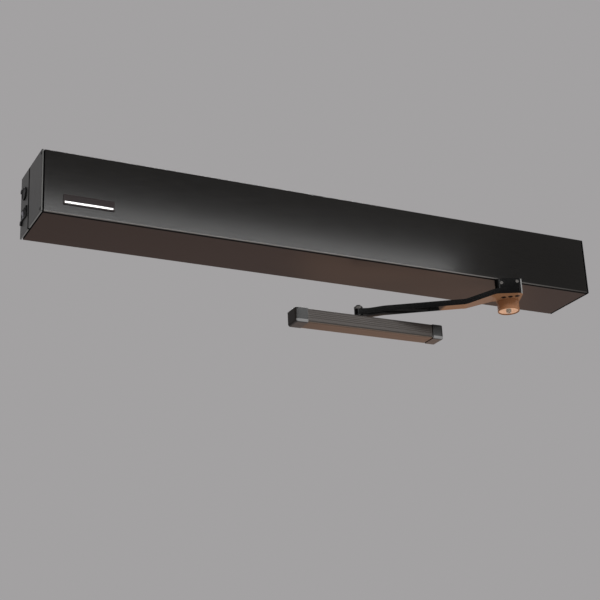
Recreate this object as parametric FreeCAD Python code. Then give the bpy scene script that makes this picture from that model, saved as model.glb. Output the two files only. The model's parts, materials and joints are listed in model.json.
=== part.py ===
"""Power-assisted door closer: header unit with a closing spring and motor, swinging arm and slide track.

Millimetres, +Z up. The origin is the centre of the back plate's wall face: +X runs along the header
towards the spindle end, +Y points into the wall, and everything on the room side has negative Y.
"""
import FreeCAD
import Part

import math
import os

from FreeCAD import Vector

# ---- driving dimensions: header ----
HEADER_LENGTH = 1010.0
HEADER_DEPTH = 114.0
HEADER_HEIGHT = 104.0
COVER_WALL = 2.5
END_PLATE = 2.4
END_SEAM_Y = -44.5          # seam between the cover cap and the end bracket
SEAM_GAP = 2.0
COVER_GAP = 2.0             # shadow line between the cover and each end plate
END_EDGE_R = 0.8            # rounding around each end plate's outer face
CORNER_R = 2.0              # rounding of the header's front corners
BACK_WALL = 3.0
BACK_LIP = 14.0
BACK_HALF_HEIGHT = 49.0
WALL_HOLE_X = 450.0
WALL_HOLE_Z = 30.0
WALL_HOLE_R = 3.5

# ---- driving dimensions: drive train ----
SPINDLE_X, SPINDLE_Y = 340.0, -93.0
SPINDLE_R = 10.0
RUNNING_GAP = 0.05
RACK_MODULE = 2.0
PINION_TEETH = 14
GEAR_MODULE = 1.0
GEAR_TEETH = 60
MOTOR_TEETH = 12
PRESSURE_ANGLE = math.radians(25.0)
ADDENDUM = 0.9
DEDENDUM = 1.1
BACKLASH = 0.12             # taken off each gear's tooth width
RACK_CORE_WIDTH = 18.0      # between the rack's two pitch lines
RACK_Z = (-34.0, -16.0)
GEAR_Z = (0.0, 8.0)
DRIVE_X = 260.0
DRIVE_R = 6.0
ROTOR_R = 3.0

# ---- driving dimensions: spring ----
SPRING_X = (36.0, 197.0)
SPRING_Z = -17.0
SPRING_COIL_R = 19.5
SPRING_WIRE_R = 3.0
SPRING_TURNS = 12
SPRING_ROD_R = 6.0

# ---- driving dimensions: arm ----
ARM_YAW = 155.8             # direction of the bar's straight front edge, degrees from +X
ARM_THICK = 10.0
PIN_S, PIN_W = 266.7, 34.4  # pin axis, along and across the bar, from the spindle axis
PIN_R = 4.0
TIP_R = 7.5
HUB_R = 19.0
HEAD_R = 20.0
HEAD_FRONT = 43.5
HEAD_SIDES = (-20.0, 27.0)
HEAD_CORNER = 8.0
HEAD_TOP_Z = -54.0
BAR_TOP_Z = -72.0
BAR_BOTTOM_Z = BAR_TOP_Z - ARM_THICK
HUB_BOTTOM_Z = -100.0
TIP_MID_Z = -106.0

# ---- driving dimensions: track ----
TRACK_MID_X = 98.0
TRACK_HALF = 144.0
TRACK_CAP = 23.0
TRACK_DEPTH = 30.5
TRACK_Z = (-142.0, -116.0)
TRACK_WALL = 2.5
TRACK_CAP_STEP = 0.8        # the end caps stand this proud of the channel
TRACK_CAP_GAP = 1.8         # open joint between the channel and the right end cap
TRACK_SCREW_INSET = 12.0
TRACK_HOLE_R = 2.75
SLIDER_HALF = 20.0

# ---- derived values ----
HALF_LENGTH = HEADER_LENGTH / 2
HALF_HEIGHT = HEADER_HEIGHT / 2
COVER_HALF = HALF_LENGTH - END_PLATE
PINION_R = RACK_MODULE * PINION_TEETH / 2
RACK_FRONT_Y = SPINDLE_Y + PINION_R
RACK_REAR_Y = RACK_FRONT_Y + RACK_CORE_WIDTH
RACK_MID_Y = (RACK_FRONT_Y + RACK_REAR_Y) / 2
DRIVE_Y = RACK_REAR_Y + PINION_R
MOTOR_X = DRIVE_X - GEAR_MODULE * (GEAR_TEETH + MOTOR_TEETH) / 2
PIN_X = SPINDLE_X + PIN_S * math.cos(math.radians(ARM_YAW)) - PIN_W * math.sin(math.radians(ARM_YAW))
PIN_Y = SPINDLE_Y + PIN_S * math.sin(math.radians(ARM_YAW)) + PIN_W * math.cos(math.radians(ARM_YAW))

X_AXIS = Vector(1, 0, 0)
Y_AXIS = Vector(0, 1, 0)
Z_AXIS = Vector(0, 0, 1)


# ---------------------------------------------------------------- helpers
def box(x, y, z):
    """Box from (low, high) pairs along X, Y and Z."""
    return Part.makeBox(x[1] - x[0], y[1] - y[0], z[1] - z[0], Vector(x[0], y[0], z[0]))


def rod(start, end, radius):
    """Cylinder between two points."""
    a, b = Vector(*start), Vector(*end)
    return Part.makeCylinder(radius, (b - a).Length, a, b - a)


def post(x, y, z, radius):
    """Upright cylinder over the (low, high) pair z."""
    return rod((x, y, z[0]), (x, y, z[1]), radius)


def tube(x, y, z, outer, inner):
    """Upright hollow cylinder."""
    return post(x, y, z, outer).cut(post(x, y, z, inner))


def hexagon(centre, across, height, direction=Z_AXIS):
    """Hexagonal prism; across is its width over flats."""
    radius = across / math.sqrt(3)
    corners = [Vector(radius * math.cos(k * math.pi / 3), radius * math.sin(k * math.pi / 3), 0)
               for k in range(7)]
    prism = Part.Face(Part.makePolygon(corners)).extrude(Vector(0, 0, height))
    prism.Placement = FreeCAD.Placement(Vector(*centre), FreeCAD.Rotation(Z_AXIS, direction))
    return prism


def fuse(shapes):
    """One solid from shapes that touch or overlap."""
    joined = shapes[0].multiFuse(list(shapes[1:])) if len(shapes) > 1 else shapes[0]
    return joined.removeSplitter()


def group(shapes):
    """Several separate solids in one node."""
    return Part.makeCompound([s for shape in shapes for s in shape.Solids])


def mirrored(shape):
    """The same piece for the other end of the header."""
    return shape.mirror(Vector(0, 0, 0), X_AXIS)


def edges_along(shape, axis, test):
    """Straight edges parallel to an axis whose midpoint passes the test."""
    found = []
    for edge in shape.Edges:
        if not isinstance(edge.Curve, (Part.Line, Part.LineSegment)):
            continue
        ends = edge.Vertexes[-1].Point - edge.Vertexes[0].Point
        if abs(ends.normalize().dot(axis)) > 0.999 and test(edge.CenterOfMass):
            found.append(edge)
    return found


def circle_edges(shape, z, radius):
    """Round edges of one radius at one height."""
    return [e for e in shape.Edges if isinstance(e.Curve, Part.Circle)
            and abs(e.Curve.Radius - radius) < 0.01 and abs(e.Curve.Center.z - z) < 0.01]


def hull_face(circles):
    """Flat face around circles (x, y, radius), listed anticlockwise."""
    count = len(circles)
    normals = []
    for k in range(count):
        x1, y1, r1 = circles[k]
        x2, y2, r2 = circles[(k + 1) % count]
        along = Vector(x2 - x1, y2 - y1, 0)
        lean = (r1 - r2) / along.Length
        along.normalize()
        right = Vector(along.y, -along.x, 0)
        normals.append(along * lean + right * math.sqrt(1 - lean * lean))
    edges = []
    for k in range(count):
        x, y, r = circles[k]
        centre = Vector(x, y, 0)
        before, after = normals[k - 1], normals[k]
        start = math.atan2(before.y, before.x)
        turn = (math.atan2(after.y, after.x) - start) % (2 * math.pi)
        middle = Vector(math.cos(start + turn / 2), math.sin(start + turn / 2), 0)
        edges.append(Part.Arc(centre + before * r, centre + middle * r, centre + after * r).toShape())
        x2, y2, r2 = circles[(k + 1) % count]
        edges.append(Part.LineSegment(centre + after * r, Vector(x2, y2, 0) + after * r2).toShape())
    return Part.Face(Part.Wire(edges))


def bent_path(corners, bend):
    """Edges of straight runs joined by tangent arcs of radius bend."""
    edges = []
    start = corners[0]
    for before, corner, after in zip(corners, corners[1:], corners[2:]):
        a = (before - corner).normalize()
        b = (after - corner).normalize()
        half = math.acos(max(-1.0, min(1.0, a.dot(b)))) / 2
        reach = bend / math.tan(half)
        inward = (a + b).normalize()
        middle = corner + inward * (bend / math.sin(half) - bend)
        edges.append(Part.LineSegment(start, corner + a * reach).toShape())
        edges.append(Part.Arc(corner + a * reach, middle, corner + b * reach).toShape())
        start = corner + b * reach
    edges.append(Part.LineSegment(start, corners[-1]).toShape())
    return edges


def lead(points, radius, bend):
    """Round cable along straight runs joined by tangent arcs."""
    corners = [Vector(*p) for p in points]
    path = Part.Wire(bent_path(corners, bend))
    section = Part.Wire(Part.Circle(corners[0], corners[1] - corners[0], radius).toShape())
    return path.makePipeShell([section], True, True)


def cap_screw(head_base, direction, head_r, head_h, shank_r, shank_l, socket):
    """Socket-head screw: the head stands on head_base against direction, the shank runs along it."""
    way = Vector(*direction)
    base = Vector(*head_base)
    head = Part.makeCylinder(head_r, head_h, base, -way)
    shank = Part.makeCylinder(shank_r, shank_l, base, way)
    hollow = hexagon(base - way * head_h, socket, head_h * 0.6, way)
    return fuse([head, shank]).cut(hollow)


def arm_place(shape):
    """Move a shape from the arm's own axes to where the arm stands at rest."""
    shape.Placement = FreeCAD.Placement(Vector(SPINDLE_X, SPINDLE_Y, 0),
                                        FreeCAD.Rotation(Z_AXIS, ARM_YAW))
    return shape


# ---------------------------------------------------------------- gears
def involute(angle):
    return math.tan(angle) - angle


def gear_face(teeth, module, first_tooth):
    """Flat involute gear; first_tooth is the direction of one tooth's middle, in radians."""
    pitch_r = module * teeth / 2
    base_r = pitch_r * math.cos(PRESSURE_ANGLE)
    tip_r = pitch_r + ADDENDUM * module
    root_r = pitch_r - DEDENDUM * module
    half_pitch = (math.pi * module / 2 - BACKLASH) / 2 / pitch_r
    flank_r = max(base_r, root_r)
    steps = 5

    def at(radius, angle):
        return Vector(radius * math.cos(angle), radius * math.sin(angle), 0)

    def half_angle(radius):
        return half_pitch + involute(PRESSURE_ANGLE) - involute(math.acos(min(1.0, base_r / radius)))

    radii = [flank_r + (tip_r - flank_r) * k / (steps - 1) for k in range(steps)]
    edges = []
    for tooth in range(teeth):
        middle = first_tooth + tooth * 2 * math.pi / teeth
        rising = [at(r, middle - half_angle(r)) for r in radii]
        falling = [at(r, middle + half_angle(r)) for r in reversed(radii)]
        foot = half_angle(flank_r)
        if root_r < base_r - 1e-6:
            edges.append(Part.LineSegment(at(root_r, middle - foot), rising[0]).toShape())
        up = Part.BSplineCurve()
        up.interpolate(rising)
        edges.append(up.toShape())
        edges.append(Part.Arc(rising[-1], at(tip_r, middle), falling[0]).toShape())
        down = Part.BSplineCurve()
        down.interpolate(falling)
        edges.append(down.toShape())
        if root_r < base_r - 1e-6:
            edges.append(Part.LineSegment(falling[-1], at(root_r, middle + foot)).toShape())
        valley = middle + math.pi / teeth
        start = at(root_r, middle + foot)
        end = at(root_r, middle + 2 * math.pi / teeth - foot)
        edges.append(Part.Arc(start, at(root_r, valley), end).toShape())
    return Part.Face(Part.Wire(edges))


def gear(x, y, z, teeth, module, first_tooth):
    face = gear_face(teeth, module, first_tooth)
    face.translate(Vector(x, y, z[0]))
    return face.extrude(Vector(0, 0, z[1] - z[0]))


def rack_edge(mesh_x, pitch_y, outward, first, last):
    """Corner points of a run of rack teeth with a gap centred on mesh_x, from low X to high X."""
    pitch = math.pi * RACK_MODULE
    tip_y = pitch_y + outward * ADDENDUM * RACK_MODULE
    root_y = pitch_y - outward * DEDENDUM * RACK_MODULE
    half = (pitch / 2 - BACKLASH) / 2
    at_tip = half - ADDENDUM * RACK_MODULE * math.tan(PRESSURE_ANGLE)
    at_root = half + DEDENDUM * RACK_MODULE * math.tan(PRESSURE_ANGLE)
    points = []
    for k in range(first, last + 1):
        middle = mesh_x + (k + 0.5) * pitch
        points.append(Vector(middle - at_root, root_y, 0))
        points.append(Vector(middle - at_tip, tip_y, 0))
        points.append(Vector(middle + at_tip, tip_y, 0))
        points.append(Vector(middle + at_root, root_y, 0))
    return points


# ---------------------------------------------------------------- header shell
BRACKET_SCREWS = [(-7.5, 25.8), (-7.2, -28.4)]
BRACKET_HOLE_R = 2.2
TAB_THICK = 3.0


def bracket_hole(y, z):
    """Bore for one end bracket screw, through the left end plate and the tab behind it."""
    return rod((-HALF_LENGTH - 1, y, z), (-COVER_HALF + TAB_THICK + 1, y, z), BRACKET_HOLE_R)


def back_plate():
    """Channel that screws to the wall and carries everything, with tabs for the end brackets' screws."""
    x = (-COVER_HALF + 0.5, COVER_HALF - 0.5)
    web = box(x, (-BACK_WALL, 0), (-BACK_HALF_HEIGHT, BACK_HALF_HEIGHT))
    lip = 2.0
    upper = box(x, (-BACK_LIP, 0), (BACK_HALF_HEIGHT - lip, BACK_HALF_HEIGHT))
    lower = box(x, (-BACK_LIP, 0), (-BACK_HALF_HEIGHT, -BACK_HALF_HEIGHT + lip))
    tab_half_z, tab_y = 4.5, (-12.0, -BACK_WALL)
    tabs = [box((-COVER_HALF, -COVER_HALF + TAB_THICK), tab_y, (z - tab_half_z, z + tab_half_z))
            for _, z in BRACKET_SCREWS]
    tabs = [t.cut(bracket_hole(y, z)) for t, (y, z) in zip(tabs, BRACKET_SCREWS)]
    plate = fuse([web, upper, lower] + tabs + [mirrored(t) for t in tabs])
    for sx in (-1, 1):
        for sz in (-1, 1):
            hx, hz = sx * WALL_HOLE_X, sz * WALL_HOLE_Z
            plate = plate.cut(rod((hx, -BACK_WALL - 1, hz), (hx, 1, hz), WALL_HOLE_R))
    return plate


COVER_HOLE_R = 17.0         # in the underside, round the spindle


def cover():
    """Long U-shaped cover: top, front and underside in one piece."""
    x = (-COVER_HALF + COVER_GAP, COVER_HALF - COVER_GAP)
    back = -0.5
    outer = box(x, (-HEADER_DEPTH, back), (-HALF_HEIGHT, HALF_HEIGHT))
    shell = outer.cut(box((x[0] - 1, x[1] + 1), (-HEADER_DEPTH + COVER_WALL, back + 1),
                          (-HALF_HEIGHT + COVER_WALL, HALF_HEIGHT - COVER_WALL)))
    front_edges = edges_along(shell, X_AXIS, lambda p: p.y < -HEADER_DEPTH + 0.1)
    shell = shell.makeFillet(CORNER_R, front_edges)
    return shell.cut(post(SPINDLE_X, SPINDLE_Y, (-HALF_HEIGHT - 1, 0), COVER_HOLE_R))


CAP_SCREW_R = 1.3


def cover_cap():
    """Left end cap of the cover, with a locating lip inside it."""
    rim_y = END_SEAM_Y - SEAM_GAP / 2
    plate = box((-HALF_LENGTH, -COVER_HALF), (-HEADER_DEPTH, rim_y), (-HALF_HEIGHT, HALF_HEIGHT))
    plate = plate.makeFillet(CORNER_R, edges_along(plate, X_AXIS, lambda p: p.y < rim_y - 1))
    outer_edges = [e for e in plate.Edges
                   if e.BoundBox.XMax < -HALF_LENGTH + 0.01 and e.CenterOfMass.y < rim_y - 0.01]
    plate = plate.makeFillet(END_EDGE_R, outer_edges)
    gap, lip, reach = 0.2, 2.0, 9.0
    inset = COVER_WALL + gap
    ring_x = (-COVER_HALF, -COVER_HALF + reach)
    ring_y = (-HEADER_DEPTH + inset, END_SEAM_Y - 6)
    ring_z = (-HALF_HEIGHT + inset, HALF_HEIGHT - inset)
    ring = box(ring_x, ring_y, ring_z)
    ring = ring.cut(box(ring_x, (ring_y[0] + lip, ring_y[1] + 1), (ring_z[0] + lip, ring_z[1] - lip)))
    cap = fuse([plate, ring])
    for y, z in cap_screw_places():
        cap = cap.cut(rod((-HALF_LENGTH - 1, y, z), (-COVER_HALF + reach + 1, y, z), CAP_SCREW_R))
    return cap


def cap_screw_places():
    """Centres of a cover cap's two screws as (y, z)."""
    inset_y, inset_z = 109.8, 46.2
    return [(-inset_y, -inset_z), (-inset_y, inset_z)]


def cover_cap_screws():
    """Two small slotted screws in each cover cap."""
    head_r, head_h, slot_depth, slot_half, reach = 2.4, 0.9, 0.5, 0.35, 8.0
    screws = []
    for y, z in cap_screw_places():
        head = rod((-HALF_LENGTH - head_h, y, z), (-HALF_LENGTH, y, z), head_r)
        shank = rod((-HALF_LENGTH, y, z), (-COVER_HALF + reach, y, z), CAP_SCREW_R)
        slot = box((-HALF_LENGTH - head_h - 1, -HALF_LENGTH - head_h + slot_depth),
                   (y - slot_half, y + slot_half), (z - head_r, z + head_r))
        screw = fuse([head, shank]).cut(slot)
        screws += [screw, mirrored(screw)]
    return group(screws)


SWITCH_Y, SWITCH_Z = -23.3, -17.7
SWITCH_BODY = (21.6, 15.4)  # across Y and Z
KNOCKOUT_Y, KNOCKOUT_Z, KNOCKOUT_R = -20.7, 17.3, 8.0


def end_bracket():
    """End plate beside the wall, with a foot that lies on the back plate."""
    plate = box((-HALF_LENGTH, -COVER_HALF), (END_SEAM_Y + SEAM_GAP / 2, 0), (-HALF_HEIGHT, HALF_HEIGHT))
    outer_edges = edges_along(plate, Y_AXIS, lambda p: p.x < -HALF_LENGTH + 0.1)
    plate = plate.makeFillet(END_EDGE_R, outer_edges)
    foot_reach, foot_thick, foot_half_z = 26.0, 2.5, 18.0
    foot = box((-COVER_HALF, -COVER_HALF + foot_reach), (-BACK_WALL - foot_thick, -BACK_WALL),
               (-foot_half_z, foot_half_z))
    bracket = fuse([plate, foot])
    for y, z in BRACKET_SCREWS:
        bracket = bracket.cut(bracket_hole(y, z))
    return bracket


def left_end_bracket():
    """The controls' end: cut out for the switch housing and the conduit plug."""
    hy, hz = SWITCH_BODY[0] / 2, SWITCH_BODY[1] / 2
    through = (-HALF_LENGTH - 1, -COVER_HALF + 1)
    window = box(through, (SWITCH_Y - hy, SWITCH_Y + hy), (SWITCH_Z - hz, SWITCH_Z + hz))
    hole = rod((through[0], KNOCKOUT_Y, KNOCKOUT_Z), (through[1], KNOCKOUT_Y, KNOCKOUT_Z), KNOCKOUT_R)
    return end_bracket().cut(window).cut(hole)


CONDUIT_Y, CONDUIT_Z, CONDUIT_R, CONDUIT_SEAT_R = -24.0, 0.0, 8.0, 11.0


def right_end_bracket():
    """The conduit's end: one round hole that holds the bush."""
    start, end = (COVER_HALF - 1, CONDUIT_Y, CONDUIT_Z), (HALF_LENGTH + 1, CONDUIT_Y, CONDUIT_Z)
    return mirrored(end_bracket()).cut(rod(start, end, CONDUIT_SEAT_R))


def conduit_bush():
    """Plastic bush with a collar each side of the right end plate."""
    def along(x0, x1, radius):
        return rod((x0, CONDUIT_Y, CONDUIT_Z), (x1, CONDUIT_Y, CONDUIT_Z), radius)

    outer_collar, outer_r = HALF_LENGTH + 2, 13.5
    inner_collar, inner_r = COVER_HALF - 3, 13.0
    body = fuse([along(COVER_HALF, HALF_LENGTH, CONDUIT_SEAT_R), along(HALF_LENGTH, outer_collar, outer_r),
                 along(inner_collar, COVER_HALF, inner_r)])
    return body.cut(along(inner_collar - 1, outer_collar + 1, CONDUIT_R))


def end_bracket_screws():
    """Screws that hold both end brackets to the back plate's tabs."""
    head_r, head_h, socket, reach = 3.8, 2.4, 2.5, END_PLATE + TAB_THICK
    screws = []
    for y, z in BRACKET_SCREWS:
        screw = cap_screw((-HALF_LENGTH, y, z), (1, 0, 0), head_r, head_h, BRACKET_HOLE_R, reach, socket)
        screws += [screw, mirrored(screw)]
    return group(screws)


def knockout_plug():
    """Push-in plug that closes the spare conduit hole."""
    def along(x0, x1, radius):
        return rod((x0, KNOCKOUT_Y, KNOCKOUT_Z), (x1, KNOCKOUT_Y, KNOCKOUT_Z), radius)

    head_h, head_r, dish_h, dish_r, behind = 2.2, 10.8, 0.5, 8.8, 3.0
    head = along(-HALF_LENGTH - head_h, -HALF_LENGTH, head_r)
    head = head.makeFillet(0.5, [e for e in head.Edges if isinstance(e.Curve, Part.Circle)
                                 and e.Curve.Center.x < -HALF_LENGTH - head_h + 0.1])
    shank = along(-HALF_LENGTH, -COVER_HALF + behind, KNOCKOUT_R)
    dish = along(-HALF_LENGTH - head_h - 1, -HALF_LENGTH - head_h + dish_h, dish_r)
    return fuse([head, shank]).cut(dish)


# ---------------------------------------------------------------- switches
ROCKER_WIDTH = 8.6
ROCKER_PITCH = 10.6
ROCKER_PIVOT_X = -500.0
ROCKER_PIN_R = 1.0
ROCKER_TILT = 10.0
POCKET_HALF_Z = 6.9
SWITCH_REAR_X = -488.0


def switch_housing():
    """One moulding with a flange, a body behind the plate and a pocket for each rocker."""
    hy, hz = SWITCH_BODY[0] / 2, SWITCH_BODY[1] / 2
    flange_lap, flange = 1.5, 2.0
    body = box((-HALF_LENGTH, SWITCH_REAR_X), (SWITCH_Y - hy, SWITCH_Y + hy), (SWITCH_Z - hz, SWITCH_Z + hz))
    rim = box((-HALF_LENGTH - flange, -HALF_LENGTH),
              (SWITCH_Y - hy - flange_lap, SWITCH_Y + hy + flange_lap),
              (SWITCH_Z - hz - flange_lap, SWITCH_Z + hz + flange_lap))
    rim = rim.makeFillet(0.8, [e for e in rim.Edges if e.CenterOfMass.x < -HALF_LENGTH - flange + 0.1])
    housing = fuse([body, rim])
    pocket_half_y = ROCKER_WIDTH / 2 + 0.35
    pocket_x = (-HALF_LENGTH - flange - 1, SWITCH_REAR_X - 2)
    bore_reach = ROCKER_WIDTH / 2 + 0.85
    for side in (-1, 1):
        y = SWITCH_Y + side * ROCKER_PITCH / 2
        pocket = box(pocket_x, (y - pocket_half_y, y + pocket_half_y),
                     (SWITCH_Z - POCKET_HALF_Z, SWITCH_Z + POCKET_HALF_Z))
        bore = rod((ROCKER_PIVOT_X, y - bore_reach, SWITCH_Z), (ROCKER_PIVOT_X, y + bore_reach, SWITCH_Z),
                   ROCKER_PIN_R + RUNNING_GAP)
        housing = housing.cut(pocket).cut(bore)
    return housing


def rocker(side):
    """Rocker with a shallow V face and a stub pin each side, leaning with its top pressed in."""
    y = SWITCH_Y + side * ROCKER_PITCH / 2
    face_high, face_low, half_z = 7.6, 6.0, 5.2
    edge, waist, foot = 1.5, (-3.5, 3.0), (2.5, 2.0)
    outline = [(waist[0], -waist[1]), (-face_high + edge, -half_z), (-face_high, -half_z), (-face_low, 0),
               (-face_high, half_z), (-face_high + edge, half_z), waist, foot, (foot[0], -foot[1])]
    corners = [Vector(x, 0, z) for x, z in outline + outline[:1]]
    body = Part.Face(Part.makePolygon(corners)).extrude(Vector(0, ROCKER_WIDTH, 0))
    body.translate(Vector(0, -ROCKER_WIDTH / 2, 0))
    pin_reach = ROCKER_WIDTH / 2 + 0.75
    body = fuse([body, rod((0, -pin_reach, 0), (0, pin_reach, 0), ROCKER_PIN_R)])
    body.rotate(Vector(0, 0, 0), Y_AXIS, -ROCKER_TILT)
    body.translate(Vector(ROCKER_PIVOT_X, y, SWITCH_Z))
    return body


# ---------------------------------------------------------------- name plate
NAME_X = (-471.0, -390.0)
NAME_Z = (-35.5, -18.5)
NAME_THICK = 1.2
NAME_RECESS = 0.4


def name_plate():
    """Blank plaque with a raised rim."""
    front, corner, rim = -HEADER_DEPTH - NAME_THICK, 1.5, 0.8
    plate = box(NAME_X, (front, -HEADER_DEPTH), NAME_Z)
    plate = plate.makeFillet(corner, edges_along(plate, Y_AXIS, lambda p: True))
    field = box((NAME_X[0] + rim, NAME_X[1] - rim), (front - 1, front + NAME_RECESS),
                (NAME_Z[0] + rim, NAME_Z[1] - rim))
    return plate.cut(field)


def name_plate_stripe():
    """Bright bar on the plaque's lower part."""
    base, thick, inset, stripe_z = -HEADER_DEPTH - NAME_THICK + NAME_RECESS, 0.5, 2.5, (2.6, 5.6)
    return box((NAME_X[0] + inset, NAME_X[1] - inset), (base - thick, base),
               (NAME_Z[0] + stripe_z[0], NAME_Z[0] + stripe_z[1]))


# ---------------------------------------------------------------- chassis and gear case
CHASSIS_X = (20.0, 425.0)
CHASSIS_FLOOR_Z = (-46.0, -42.0)
CHASSIS_FRONT_Y = -110.5
CHASSIS_REAR_Y = (-7.0, -BACK_WALL)
CHASSIS_TOP_Z = 12.0
SPRING_WALL_X = (20.0, 26.0)
SPINDLE_BUSH_R = 14.0
DRIVE_BUSH_R = 9.0
CHASSIS_SCREWS = [(60.0, 3.5), (180.0, 3.5), (300.0, 3.5), (410.0, 3.5)]
CHASSIS_SCREW_R = 2.5
CASE_PLATE_X = (206.5, 392.0)
CASE_PLATE_Z = (-8.0, -4.0)
CASE_POSTS = [(213.0, -102.0), (213.0, -14.0), (384.0, -102.0), (384.0, -14.0)]
POST_R = 4.0
MOTOR_PLATE_X = (193.0, 306.0)
MOTOR_PLATE_Z = (14.0, 17.0)
MOTOR_POSTS = [(213.0, -90.0), (213.0, -14.0), (298.0, -90.0), (298.0, -14.0)]


def chassis():
    """Folded frame: floor, rear web and the wall that the spring pushes against."""
    floor = box(CHASSIS_X, (CHASSIS_FRONT_Y, CHASSIS_REAR_Y[1]), CHASSIS_FLOOR_Z)
    web = box(CHASSIS_X, CHASSIS_REAR_Y, (CHASSIS_FLOOR_Z[0], CHASSIS_TOP_Z))
    wall = box(SPRING_WALL_X, (CHASSIS_FRONT_Y + 8, CHASSIS_REAR_Y[1]), (CHASSIS_FLOOR_Z[0], CHASSIS_TOP_Z))
    frame = fuse([floor, web, wall])
    below = (CHASSIS_FLOOR_Z[0] - 1, CHASSIS_FLOOR_Z[1] + 1)
    frame = frame.cut(post(SPINDLE_X, SPINDLE_Y, below, SPINDLE_BUSH_R))
    frame = frame.cut(post(DRIVE_X, DRIVE_Y, below, DRIVE_BUSH_R))
    frame = frame.cut(spring_line(SPRING_WALL_X[0] - 1, SPRING_WALL_X[1] + 1, SPRING_ROD_R))
    for x, z in CHASSIS_SCREWS:
        frame = frame.cut(rod((x, CHASSIS_REAR_Y[0] - 1, z), (x, CHASSIS_REAR_Y[1] + 1, z), CHASSIS_SCREW_R))
    return frame


def spring_line(x0, x1, radius):
    """Cylinder on the closing spring's axis."""
    return rod((x0, RACK_MID_Y, SPRING_Z), (x1, RACK_MID_Y, SPRING_Z), radius)


def chassis_screws():
    """Screws that hold the chassis to the back plate."""
    reach = CHASSIS_REAR_Y[1] - CHASSIS_REAR_Y[0]
    head_r, head_h, socket = 4.2, 3.0, 4.0
    heads = [(x, CHASSIS_REAR_Y[0], z) for x, z in CHASSIS_SCREWS]
    return group([cap_screw(head, (0, 1, 0), head_r, head_h, CHASSIS_SCREW_R, reach, socket)
                  for head in heads])


def gear_case_cover():
    """Plate above the rack that carries the upper bushes and the motor's posts."""
    plate = box(CASE_PLATE_X, (CHASSIS_FRONT_Y + 1.5, -8), CASE_PLATE_Z)
    over = (CASE_PLATE_Z[0] - 1, CASE_PLATE_Z[1] + 1)
    plate = plate.cut(post(SPINDLE_X, SPINDLE_Y, over, SPINDLE_BUSH_R))
    plate = plate.cut(post(DRIVE_X, DRIVE_Y, over, DRIVE_BUSH_R))
    return plate.cut(post(MOTOR_X, DRIVE_Y, over, ROTOR_R + RUNNING_GAP))


def motor_plate():
    """Raised plate that the motor stands on."""
    shaft_hole_r = 8.0
    plate = box(MOTOR_PLATE_X, (-97, -8), MOTOR_PLATE_Z)
    return plate.cut(post(MOTOR_X, DRIVE_Y, (MOTOR_PLATE_Z[0] - 1, MOTOR_PLATE_Z[1] + 1), shaft_hole_r))


def plate_standoffs():
    """Posts under the gear case cover, under the motor plate and behind the circuit board."""
    lower = [post(x, y, (CHASSIS_FLOOR_Z[1], CASE_PLATE_Z[0]), POST_R) for x, y in CASE_POSTS]
    upper = [post(x, y, (CASE_PLATE_Z[1], MOTOR_PLATE_Z[0]), POST_R) for x, y in MOTOR_POSTS]
    inset, board_post_r = 6.0, 3.0
    board = [rod((x, BOARD_Y[1], z), (x, -BACK_WALL, z), board_post_r)
             for x in (BOARD_X[0] + inset, BOARD_X[1] - inset)
             for z in (BOARD_Z[0] + inset, BOARD_Z[1] - inset)]
    return group(lower + upper + board)


def plate_screws():
    """One socket screw on top of each post that carries no other post."""
    places = [(x, y, CASE_PLATE_Z[1]) for x, y in CASE_POSTS if (x, y) not in MOTOR_POSTS]
    places += [(x, y, MOTOR_PLATE_Z[1]) for x, y in MOTOR_POSTS]
    head_r, head_h, floor_h, socket = 3.5, 3.0, 1.2, 3.0
    heads = []
    for x, y, z in places:
        head = post(x, y, (z, z + head_h), head_r)
        heads.append(head.cut(hexagon((x, y, z + floor_h), socket, head_h)))
    return group(heads)


def flanged_bush(x, y, plate_z, radius, bore, collar_up):
    """Plain bearing through a plate with a collar on one side."""
    thick, lap = 2.0, 2.5
    collar = (plate_z[1], plate_z[1] + thick) if collar_up else (plate_z[0] - thick, plate_z[0])
    body = fuse([post(x, y, plate_z, radius), post(x, y, collar, radius + lap)])
    return body.cut(post(x, y, (plate_z[0] - thick - 1, plate_z[1] + thick + 1), bore))


def spindle_bearings():
    """Bushes for the spindle in the chassis floor and in the gear case cover."""
    bore = SPINDLE_R + RUNNING_GAP
    return group([flanged_bush(SPINDLE_X, SPINDLE_Y, CHASSIS_FLOOR_Z, SPINDLE_BUSH_R, bore, True),
                  flanged_bush(SPINDLE_X, SPINDLE_Y, CASE_PLATE_Z, SPINDLE_BUSH_R, bore, False)])


def drive_bearings():
    """Bushes for the drive shaft in the same two plates."""
    bore = DRIVE_R + RUNNING_GAP
    return group([flanged_bush(DRIVE_X, DRIVE_Y, CHASSIS_FLOOR_Z, DRIVE_BUSH_R, bore, True),
                  flanged_bush(DRIVE_X, DRIVE_Y, CASE_PLATE_Z, DRIVE_BUSH_R, bore, False)])


RACK_GUIDES_X = [(212.0, 230.0), (362.0, 376.0)]
GUIDE_GAP = 0.35


def rack_guides():
    """Low-friction channels that the rack slides in."""
    tip = ADDENDUM * RACK_MODULE
    front = RACK_FRONT_Y - tip - GUIDE_GAP
    rear = RACK_REAR_Y + tip + GUIDE_GAP
    lip, lip_top = 4.0, -22.0
    guides = []
    for x in RACK_GUIDES_X:
        block = box(x, (front - lip, rear + lip), (CHASSIS_FLOOR_Z[1], lip_top))
        guides.append(block.cut(box((x[0] - 1, x[1] + 1), (front, rear), (RACK_Z[0] - GUIDE_GAP, 0))))
    return group(guides)


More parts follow.
